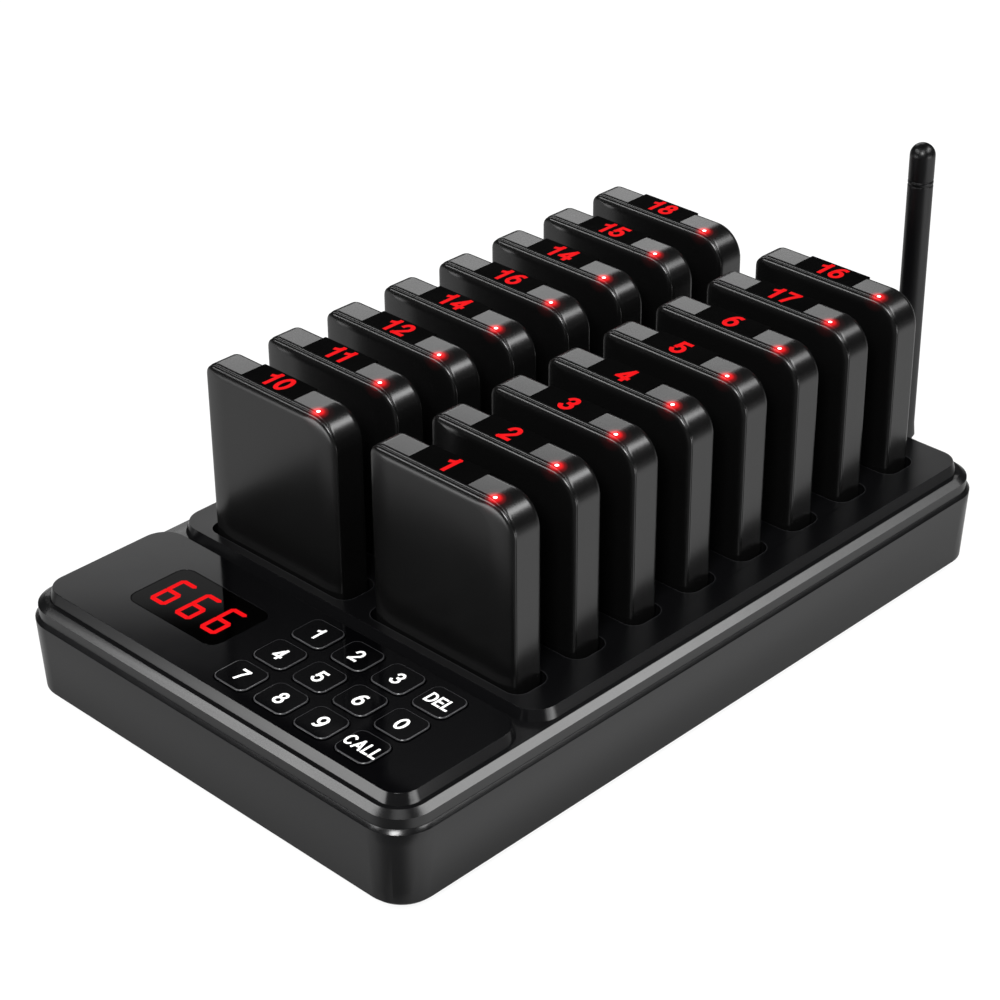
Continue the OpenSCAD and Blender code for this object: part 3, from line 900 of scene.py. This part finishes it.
@dataclass
class Keypad:
    """Twelve polished key caps with white legends."""

    # Rows from the middle of the base to its front
    legends: tuple[tuple[str, ...], ...] = (
        ("1", "2", "3", "DEL"), ("4", "5", "6", "0"), ("7", "8", "9", "CALL")
    )
    first_x: float = 2.9
    first_y: float = -125.0
    pitch_x: float = 16.8
    pitch_y: float = 14.7
    width: float = 13.2
    depth: float = 12.0
    radius: float = 2.8
    top_z: float = 37.5
    # How far each outline of a cap, and each corner of its rim, lies inside and below its top
    cap_profile: Pairs = ((0.02, 5.4), (0.02, 0.36), (0.3, 0.02))
    rim_profile: Pairs = (
        (0.1, 0.4), (0.0, 0.34), (0.05, 0.14), (0.16, 0.03), (0.34, 0.0), (0.34, 0.12)
    )
    figure_height: float = 5.6
    word_height: float = 4.75
    word_shift: float = 0.04
    ink_depth: float = 0.08
    font: StrokeFont = StrokeFont(0.165, 0.08)

    cap: Finish = MouldedPlastic(
        # Polished ABS cap: black face, thin bright edge
        "polished_abs_key_cap", Colour.PANEL.value, 0.09, 0.6, 0.0006, cloud=0.01, ior=1.22
    )
    rim: Finish = MouldedPlastic(
        # Edge of the cap: a painted highlight, a thin pale line all round
        "abs_cap_edge_painted_highlight", Colour.PAINTED_HIGHLIGHT.value, 0.28, 0.4, 0.002, ior=1.8
    )
    ink: Finish = LitPaint(
        # Pad-printed white ink: flat and opaque, with a painted glow that keeps it white in shade
        "pad_printed_white_ink_painted_glow", Colour.INK.value, Colour.INK.value, 0.25, 0.5
    )

    def build(self) -> None:
        """Builds every key cap, its rim and its legend."""
        for row, texts in zip((2, 1, 0), self.legends):
            for column, text in enumerate(texts):
                x = self.first_x + column * self.pitch_x
                self.build_one(text, x, self.first_y + row * self.pitch_y)

    def build_one(self, text: str, x: float, y: float) -> None:
        """Builds one key.

        Args:
            text: Its legend, which also names its body.
            x: Its middle, across the base.
            y: Its middle, along the base.
        """
        body = "key_" + text.lower()
        cap = stack(self.outlines(self.cap_profile), 8)
        piece = make_piece(cap, body + "_cap", body, self.cap, at(x, y, 0))
        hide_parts(body)
        # The rim's paler plastic is a painted highlight round the cap's edge
        rim = stack(self.outlines(self.rim_profile), 8, band=True)
        make_piece(rim, body + "_rim", body, self.rim, at(x, y, 0))
        height, shift = self.figure_height, 0.0
        if len(text) > 1:
            height, shift = self.word_height, self.word_shift
        letters = self.font.write(text, height, self.ink_depth)
        place = at(x + shift, y, self.top_z)
        make_piece(letters, body + "_legend", body, self.ink, place).visible_glossy = False

    def outlines(self, profile: Pairs) -> list[Section]:
        """Returns the outlines of a cap or its rim, drawn in and lowered by its profile."""
        size = self.width, self.depth, self.radius
        return [Section.drawn_in(size, inset, self.top_z - drop) for inset, drop in profile]


# --- pagers


@dataclass
class Pagers:
    """Sixteen pagers: front cover, rear case, number window, number and lamp."""

    numbers: tuple[tuple[str, ...], ...] = (
        ("10", "11", "12", "14", "16", "14", "15", "18"), ("1", "2", "3", "4", "5", "6", "17", "16")
    )
    columns: Pair = (-35.8, 35.8)
    first_y: float = -71.4
    pitch_y: float = 24.5
    foot_z: float = 28.7
    width: float = 57.4
    height: float = 67.0
    radius: float = 6.5
    upper_radii: Pair = (4.4, 10.4)
    side_groove: float = 0.1
    side_round: float = 3.0
    cover_depth: float = 2.0
    case_depth: float = 10.9
    cover_arcs: tuple[float, float, float] = (1.3, 4.6, 30.0)
    case_round: float = 2.6
    lip: float = 1.0
    lip_in: float = 0.7
    cover_in: float = 0.45
    cover_edge: float = 0.2
    window_width: float = 23.2
    window_x: float = -2.4
    window_from_crease: Pair = (0.7, 10.25)
    window_heights: Pair = (-0.5, 0.03)
    lamp_x: float = 19.5
    lamp_behind: float = 1.2
    lens_radius: float = 0.62
    lens_flatness: float = 0.16
    lens_sunk: float = 0.05
    number_height: float = 8.0
    ink_depth: float = 0.06
    pad_width: float = 4.8
    pad_x: float = 8.0
    pad_heights: Pair = (-0.02, 0.38)
    font: StrokeFont = StrokeFont(0.19, 0.17)

    film: Finish = MouldedPlastic(
        # Matt black polyester film: it swallows the light
        "matt_black_number_film", Colour.FILM.value, 0.5, 0.5, 0.002, ior=1.04
    )
    red: Finish = LitPaint(
        # Red figure printed in the film, with a painted glow that keeps it bright red in shade
        "red_number_painted_glow", "300305", Colour.RED.value, 1.0
    )
    lamp: Finish = LitPaint(
        # Clear epoxy lens over a lit die: white-hot in its middle
        "lit_lamp_lens", "ffffff", "fff2f2", 1.6, 0.1
    )
    pad: Finish = PlatedMetal(
        # Gold-plated charging pad
        "gold_plated_pad", "d9a95a", 0.3
    )

    @property
    def crease_y(self) -> float:
        """Parting line between cover and case, from the pager's middle."""
        return self.cover_depth - (self.cover_depth + self.case_depth) / 2

    def plastic(self) -> MouldedPlastic:
        """Returns the pagers' plastic, with the lamp's glow on it."""
        glow = LampGlow(
            (
                self.columns[1] + self.lamp_x,
                self.first_y + self.crease_y + self.lamp_behind,
                self.foot_z + self.height,
            ),
            self.columns[1] - self.columns[0],
            self.pitch_y,
        )
        # Satin ABS: soft gradients on the flat faces, a bright line on each edge
        return MouldedPlastic(
            "satin_abs_pager", Colour.PAGER.value, 0.25, 0.35, 0.0008, cloud=0.012, glow=glow
        )

    def build(self) -> None:
        """Builds the pagers of both columns, from the front to the back."""
        for side, x, numbers in zip(("left", "right"), self.columns, self.numbers):
            for row, number in enumerate(numbers):
                y = self.first_y + row * self.pitch_y
                self.build_one(f"pager_{side}_{row + 1}", x, y, number)

    def build_one(self, body: str, x: float, y: float, number: str) -> None:
        """Builds one pager.

        Args:
            body: Name of its body.
            x: Its middle, across the base.
            y: Its middle, along the base.
            number: Figure in its window.
        """
        plastic = self.plastic()
        crease, top = y + self.crease_y, self.foot_z + self.height
        middle = at(x, crease, self.foot_z + self.height / 2)
        for mesh, node, side, turn in (
            (self.case_mesh(), "case", "rear", -90),
            (self.cover_mesh(), "cover", "front", 90),
        ):
            place = middle @ Matrix.Rotation(math.radians(turn), 4, "X")
            half = make_piece(mesh, f"{body}_{side}", body, plastic, place)
            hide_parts(f"{body}_{node}")
        low, high = self.window_from_crease
        window_x, window_y = x + self.window_x, crease + (low + high) / 2
        window = stack(
            [Section(self.window_width, high - low, 0.1, z) for z in self.window_heights], 2
        )
        make_piece(window, body + "_window", body, self.film, at(window_x, window_y, top))
        figure = self.font.write(number, self.number_height, self.ink_depth)
        place = at(window_x, window_y, top + self.window_heights[1])
        make_piece(figure, body + "_number", body, self.red, place)
        lens = bmesh.new()
        bmesh.ops.create_uvsphere(lens, u_segments=20, v_segments=12, radius=self.lens_radius * MM)
        flat = Matrix.Diagonal((1.0, 1.0, self.lens_flatness, 1.0))
        place = at(x + self.lamp_x, crease + self.lamp_behind, top - self.lens_sunk) @ flat
        make_piece(lens, body + "_lamp", body, self.lamp, place)
        for side in (-1, 1):
            wide = self.pad_width
            pad = stack([Section(wide, wide, 0.5, z) for z in self.pad_heights], 3)
            place = at(x + side * self.pad_x, y, self.foot_z)
            make_piece(pad, f"{body}_pad_{side + 2}", body, self.pad, place)

    def case_mesh(self) -> BMesh:
        """Returns the rear case, growing upwards from the parting line."""
        sections = []
        for degrees in range(15, 91, 15):
            turn = math.radians(degrees)
            groove = self.lip_in * (1 - math.sin(turn))
            sections.append(self.section(-1, self.lip * (1 - math.cos(turn)), groove=groove))
        for step in range(9):
            turn = math.radians(90 * step / 8)
            inset = self.case_round * (1 - math.cos(turn))
            height = self.case_depth - self.case_round * (1 - math.sin(turn))
            sections.append(self.section(-1, height, inset, inset))
        return stack(sections, 12)

    def cover_mesh(self) -> BMesh:
        """Returns the front cover, growing upwards from the parting line.

        Its edge leans from 90 degrees to 0, with a sharp arc and then a wide one.
        """
        edge, groove = self.cover_edge, self.cover_in
        sharp, wide, change = self.cover_arcs
        sections = [
            self.section(1, up, inset, inset, groove)
            for up, inset in ((0.0, edge), (edge * 0.3, edge * 0.3))
        ]
        inset, height, lean = 0.0, edge, 90.0
        while True:
            sections.append(self.section(1, height, inset * self.side_round, inset, groove))
            if lean <= 0.0:
                return stack(sections, 12)
            radius, step = (sharp, 10.0) if lean > change else (wide, 3.0)
            old, new = math.radians(lean), math.radians(lean - step)
            inset += radius * (math.sin(old) - math.sin(new))
            height += radius * (math.cos(new) - math.cos(old))
            lean -= step

    def section(
        self, up: int, height: float, across: float = 0.0, upward: float = 0.0, groove: float = 0.0
    ) -> Section:
        """Returns the pager's outline at a height.

        Args:
            up: 1 where the pager's top is the outline's far side, -1 where it is the near.
            height: Height of the outline.
            across: How far its sides are drawn in.
            upward: How far its top and foot are drawn in.
            groove: Depth of the parting groove, which nearly ends on the sides.

        Returns:
            The outline.
        """
        inset = max(across, upward) + groove
        left, right = self.upper_radii
        return Section(
            self.width - 2 * (across + groove * self.side_groove),
            self.height - 2 * (upward + groove),
            max(self.radius - inset, 1.0),
            height,
            (max(left - inset, 0.8), right - upward - groove),
            up,
        )


# --- studio


@dataclass
class Studio:
    """Camera, soft lights, pale floor and white surroundings."""

    camera_mm: tuple[float, float, float] = (495.13, -519.68, 461.97)
    camera_turn: tuple[float, float, float, float] = (0.804529, 0.458999, 0.190467, 0.325231)
    lens_mm: float = 95.632
    floor_half: float = 12.0
    floor_drop_mm: float = 0.3
    floor_shine: float = 0.9
    floor_gloss: Pair = (0.44, 0.97)
    far_gloss: float = 0.04
    paper_grey: float = 0.12
    strip_azimuth: float = math.radians(-53)
    strip_gloss: float = 6.0
    strip_levels: Pairs = ((0.16, 0.1), (0.3, 1.0), (0.66, 1.0))
    strip_ends: Pair = (0.04, 0.76)
    dark_azimuth: float = math.radians(-63)
    dark_edges: Pair = (0.42, 0.74)
    world_gloss: Pair = (0.12, 0.04)
    world_light: float = 0.42
    lamp_distance: float = 3.0

    def build(self) -> None:
        """Builds the camera, the floor, the world and the lamps."""
        scene = bpy.context.scene
        scene.view_settings.view_transform = "Standard"
        data = bpy.data.cameras.new("photo_camera")
        data.lens = self.lens_mm
        data.sensor_width = 36.0
        data.clip_start, data.clip_end = 0.01, 50.0
        camera = bpy.data.objects.new("photo_camera", data)
        camera.location = Vector(self.camera_mm) * MM
        camera.rotation_mode = "QUATERNION"
        camera.rotation_quaternion = Quaternion(self.camera_turn)
        scene.collection.objects.link(camera)
        scene.camera = camera
        self.floor()
        self.world()
        self.softbox("front_strip", 232.0, 43.5, (2.0, 0.66), 9.0)
        self.softbox("side_strip", 35.0, 47.0, (1.9, 0.85), 9.0)
        self.softbox("rear_strip", 61.0, 39.0, (0.7, 0.8), 4.0)
        self.softbox("rear_wall", 138.0, 26.0, (1.6, 0.8), 2.5)
        self.softbox("key_light", 302.0, 40.0, (0.8, 0.7), 36.0)
        self.softbox("corner_fill", 314.0, 60.0, (1.5, 0.4), 4.5)

    def floor(self) -> None:
        """Lays the pale floor just under the object."""
        bm = bmesh.new()
        bmesh.ops.create_grid(bm, x_segments=1, y_segments=1, size=self.floor_half)
        mesh = bpy.data.meshes.new("studio_floor")
        bm.to_mesh(mesh)
        bm.free()
        floor = bpy.data.objects.new("studio_floor", mesh)
        floor.location.z = -self.floor_drop_mm * MM
        bpy.context.scene.collection.objects.link(floor)
        mesh.materials.append(self.paper())

    def paper(self) -> Material:
        """Returns the floor's paper, which glows to the eye and keeps a soft shadow.

        Glossy rays get a light that depends on where they go, as in a studio whose
        walls aren't equally bright. It is lighting, and no part of the object's looks.
        """
        made = bpy.data.materials.new("white_paper_floor")
        tree = empty_tree(made)
        path = add_node(tree, "ShaderNodeLightPath").outputs
        way = add_node(tree, "ShaderNodeNewGeometry").outputs["Incoming"]
        paper = add_node(tree, "ShaderNodeBsdfDiffuse", {"Color": grey(self.paper_grey)})
        toward_dark, toward_strips = (
            add_node(tree, "ShaderNodeVectorMath", {
                0: way, 1: (-math.cos(azimuth), -math.sin(azimuth), 0.0),
            }, operation="DOT_PRODUCT").outputs["Value"]
            for azimuth in (self.dark_azimuth, self.strip_azimuth)
        )
        parts = add_node(tree, "ShaderNodeSeparateXYZ", {0: way}).outputs
        left, right = self.floor_gloss
        # The floor's right side is brighter in gloss; far floor is darker, which the
        # upright and leaning edges see along the ground; and the strips stand low
        side, far, low = (
            add_node(tree, "ShaderNodeMapRange", {
                "Value": value, "From Min": start, "From Max": end, "To Min": first, "To Max": last,
            }, interpolation_type="SMOOTHSTEP").outputs["Result"]
            for value, start, end, first, last in (
                (parts["X"], -0.66, -0.36, right, left),
                (parts["Z"], 0.12, 0.36, self.far_gloss, 1.0),
                (parts["Z"], 0.16, 0.28, self.strip_gloss, 0.0),
            )
        )
        # The studio is dark beyond the front right corner: gloss that looks there is dark
        dark_start, dark_end = self.dark_edges
        lit = add_node(tree, "ShaderNodeMapRange", {
            "Value": toward_dark,
            "From Min": dark_start,
            "From Max": dark_end,
            "To Min": side,
            "To Max": 0.0,
        }, interpolation_type="SMOOTHSTEP").outputs["Result"]
        # The floor is darker right beside the base, as under any object
        beside = add_node(tree, "ShaderNodeMapRange", {
            "Value": path["Ray Length"], "From Min": -0.035, "From Max": 0.05,
        }, interpolation_type="SMOOTHERSTEP").outputs["Result"]
        for shade in (beside, far):
            lit = add_node(tree, "ShaderNodeMath", {
                0: lit, 1: shade,
            }, operation="MULTIPLY").outputs[0]
        # Two light strips stand low on either side of it: the leaning edges catch them
        strips = add_node(tree, "ShaderNodeValToRGB", {"Fac": toward_strips})
        stops = strips.color_ramp.elements
        for stop, position in zip(stops[:], self.strip_ends):
            stop.position, stop.color = position, grey(0.0)
        for position, level in self.strip_levels:
            stops.new(position).color = grey(level)
        lit = add_node(tree, "ShaderNodeMath", {
            0: strips.outputs["Color"], 1: low, 2: lit,
        }, operation="MULTIPLY_ADD")
        shine = add_node(tree, "ShaderNodeMix", {
            0: self.seen(tree, path), 2: 0.0, 3: self.floor_shine,
        }, data_type="FLOAT")
        gloss = add_node(tree, "ShaderNodeMix", {
            0: path["Is Glossy Ray"], 2: shine.outputs[0], 3: lit.outputs[0],
        }, data_type="FLOAT")
        white = add_node(tree, "ShaderNodeEmission", {
            "Color": grey(1.0), "Strength": gloss.outputs[0],
        })
        both = add_node(tree, "ShaderNodeAddShader", {0: paper.outputs[0], 1: white.outputs[0]})
        add_node(tree, "ShaderNodeOutputMaterial", {"Surface": both.outputs[0]})
        return made

    @staticmethod
    def seen(tree: NodeTree, path: bpy.types.bpy_prop_collection) -> NodeSocket:
        """Returns 1 for a ray from the camera, a mirror or glass, and 0 for others.

        Args:
            tree: Node tree that gets the nodes.
            path: Outputs of its Light Path node.

        Returns:
            Output socket with the answer.
        """
        answer = path["Is Camera Ray"]
        for kind in ("Is Glossy Ray", "Is Transmission Ray"):
            answer = add_node(tree, "ShaderNodeMath", {
                0: answer, 1: path[kind],
            }, operation="MAXIMUM").outputs[0]
        return answer

    def world(self) -> None:
        """Makes the surroundings: white to the eye, and dark in gloss, above all overhead."""
        world = bpy.data.worlds.new("white_studio")
        tree = empty_tree(world)
        path = add_node(tree, "ShaderNodeLightPath").outputs
        way = add_node(tree, "ShaderNodeTexCoord").outputs["Generated"]
        parts = add_node(tree, "ShaderNodeSeparateXYZ", {0: way}).outputs
        horizon, overhead = self.world_gloss
        ceiling = add_node(tree, "ShaderNodeMapRange", {
            "Value": parts["Z"], "From Max": 0.14, "To Min": horizon, "To Max": overhead,
        }, interpolation_type="SMOOTHSTEP")
        full = add_node(tree, "ShaderNodeMath", {
            0: path["Is Camera Ray"], 1: ceiling.outputs[0],
        }, operation="MAXIMUM")
        level = add_node(tree, "ShaderNodeMix", {
            0: self.seen(tree, path), 2: self.world_light, 3: full.outputs[0],
        }, data_type="FLOAT")
        sky = add_node(tree, "ShaderNodeBackground", {
            "Color": grey(1.0), "Strength": level.outputs[0],
        })
        add_node(tree, "ShaderNodeOutputWorld", {"Surface": sky.outputs[0]})
        bpy.context.scene.world = world

    def softbox(
        self, name: str, azimuth_deg: float, elevation_deg: float, size: Pair, radiance: float
    ) -> None:
        """Hangs a softbox that faces the object.

        Args:
            name: Name of the lamp.
            azimuth_deg: Direction to the lamp, counted from the base's right side.
            elevation_deg: Its height above the floor, seen from the object.
            size: Its width and height, in metres.
            radiance: How bright its face is, where 1 is white.
        """
        data = bpy.data.lights.new(name, "AREA")
        data.shape = "RECTANGLE"
        data.size, data.size_y = size
        data.energy = radiance * math.pi * size[0] * size[1]
        lamp = bpy.data.objects.new(name, data)
        azimuth, elevation = math.radians(azimuth_deg), math.radians(elevation_deg)
        way = Vector(
            (
                math.cos(azimuth) * math.cos(elevation),
                math.sin(azimuth) * math.cos(elevation),
                math.sin(elevation),
            )
        )
        lamp.location = way * self.lamp_distance
        lamp.rotation_mode = "QUATERNION"
        lamp.rotation_quaternion = way.to_track_quat("Z", "Y")
        bpy.context.scene.collection.objects.link(lamp)


# --- main


def main() -> None:
    """Builds the object and the studio."""
    logging.basicConfig(level=logging.INFO, format="%(message)s")
    Studio().build()
    Base().build()
    Display().build()
    Keypad().build()
    Pagers().build()
    bpy.context.view_layer.update()


if __name__ == "__main__":
    main()
